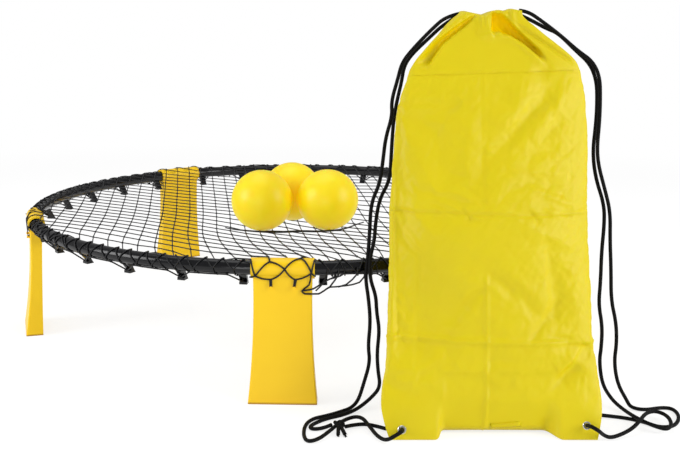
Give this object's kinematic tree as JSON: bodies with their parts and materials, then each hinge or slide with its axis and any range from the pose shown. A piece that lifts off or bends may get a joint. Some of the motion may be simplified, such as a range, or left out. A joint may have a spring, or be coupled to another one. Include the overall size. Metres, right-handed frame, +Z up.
{
  "type": "roundnet set",
  "caption": "Portable lawn ball game: round hoop with a tight net on fold-in moulded legs, small inflated balls and a drawstring carry bag.",
  "frame": {"origin": "on the floor, at the middle of the outer size of the set without its loose cords", "axes": "+Z up, +Y from the leaning bag towards the hoop's centre, +X to the right of someone facing the bag"},
  "size_m": [0.9766, 1.0762, 0.524],
  "materials": {
    "ring_plastic": "satin dark grey moulded tube",
    "leg_plastic": "smooth moulded, slight sheen",
    "net_cord": "knotted braided cord",
    "ball_rubber": "smooth inflated skin, soft sheen",
    "valve_rubber": "matt plug",
    "bag_cloth": "plain woven nylon, creased",
    "eyelet_steel": "pressed and plated",
    "drawcord": "braided cord"
  },
  "bodies": {
    "ring": {"ring_section_1": "ring_plastic", "ring_section_2": "ring_plastic", "ring_section_3": "ring_plastic", "ring_section_4": "ring_plastic", "ring_section_5": "ring_plastic", "net": "net_cord"},
    "leg_1": {"leg_1": "leg_plastic"},
    "leg_2": {"leg_2": "leg_plastic"},
    "leg_3": {"leg_3": "leg_plastic"},
    "leg_4": {"leg_4": "leg_plastic"},
    "leg_5": {"leg_5": "leg_plastic"},
    "ball_1": {"ball_1": "ball_rubber", "ball_valve_1": "valve_rubber"},
    "ball_2": {"ball_2": "ball_rubber", "ball_valve_2": "valve_rubber"},
    "ball_3": {"ball_3": "ball_rubber", "ball_valve_3": "valve_rubber"},
    "bag": {"bag": "bag_cloth", "eyelet_left": "eyelet_steel", "eyelet_right": "eyelet_steel", "washer_left": "eyelet_steel", "washer_right": "eyelet_steel", "knot_left": "drawcord", "knot_right": "drawcord", "cord_left_outer": "drawcord", "cord_left_inner": "drawcord", "cord_left_link": "drawcord", "cord_right_outer": "drawcord", "cord_right_inner": "drawcord"}
  },
  "joints": [
    {"name": "leg_1_fold", "type": "hinge", "parent": "ring", "child": "leg_1", "pos_m": [-0.01261, -0.38066, 0.185], "axis": [0.9993, -0.037, 0], "range_deg": [0, 80]},
    {"name": "leg_2_fold", "type": "hinge", "parent": "ring", "child": "leg_2", "pos_m": [0.42557, -0.08644, 0.185], "axis": [0.344, 0.939, 0], "range_deg": [0, 80]},
    {"name": "leg_3_fold", "type": "hinge", "parent": "ring", "child": "leg_3", "pos_m": [0.28115, 0.42121, 0.185], "axis": [-0.7867, 0.6173, 0], "range_deg": [0, 80]},
    {"name": "leg_4_fold", "type": "hinge", "parent": "ring", "child": "leg_4", "pos_m": [-0.24628, 0.44074, 0.185], "axis": [-0.8302, -0.5575, 0], "range_deg": [0, 80]},
    {"name": "leg_5_fold", "type": "hinge", "parent": "ring", "child": "leg_5", "pos_m": [-0.42784, -0.05485, 0.185], "axis": [0.2736, -0.9618, 0], "range_deg": [0, 80]},
    {"name": "ball_1_lift", "type": "slide", "parent": "ring", "child": "ball_1", "axis": [0, 0, 1], "range_m": [0, 0.25]},
    {"name": "ball_2_lift", "type": "slide", "parent": "ring", "child": "ball_2", "axis": [0, 0, 1], "range_m": [0, 0.25]},
    {"name": "ball_3_lift", "type": "slide", "parent": "ring", "child": "ball_3", "axis": [0, 0, 1], "range_m": [0, 0.25]},
    {"name": "bag_lift", "type": "slide", "parent": "ring", "child": "bag", "axis": [0, 0, 1], "range_m": [0, 0.3]}
  ]
}
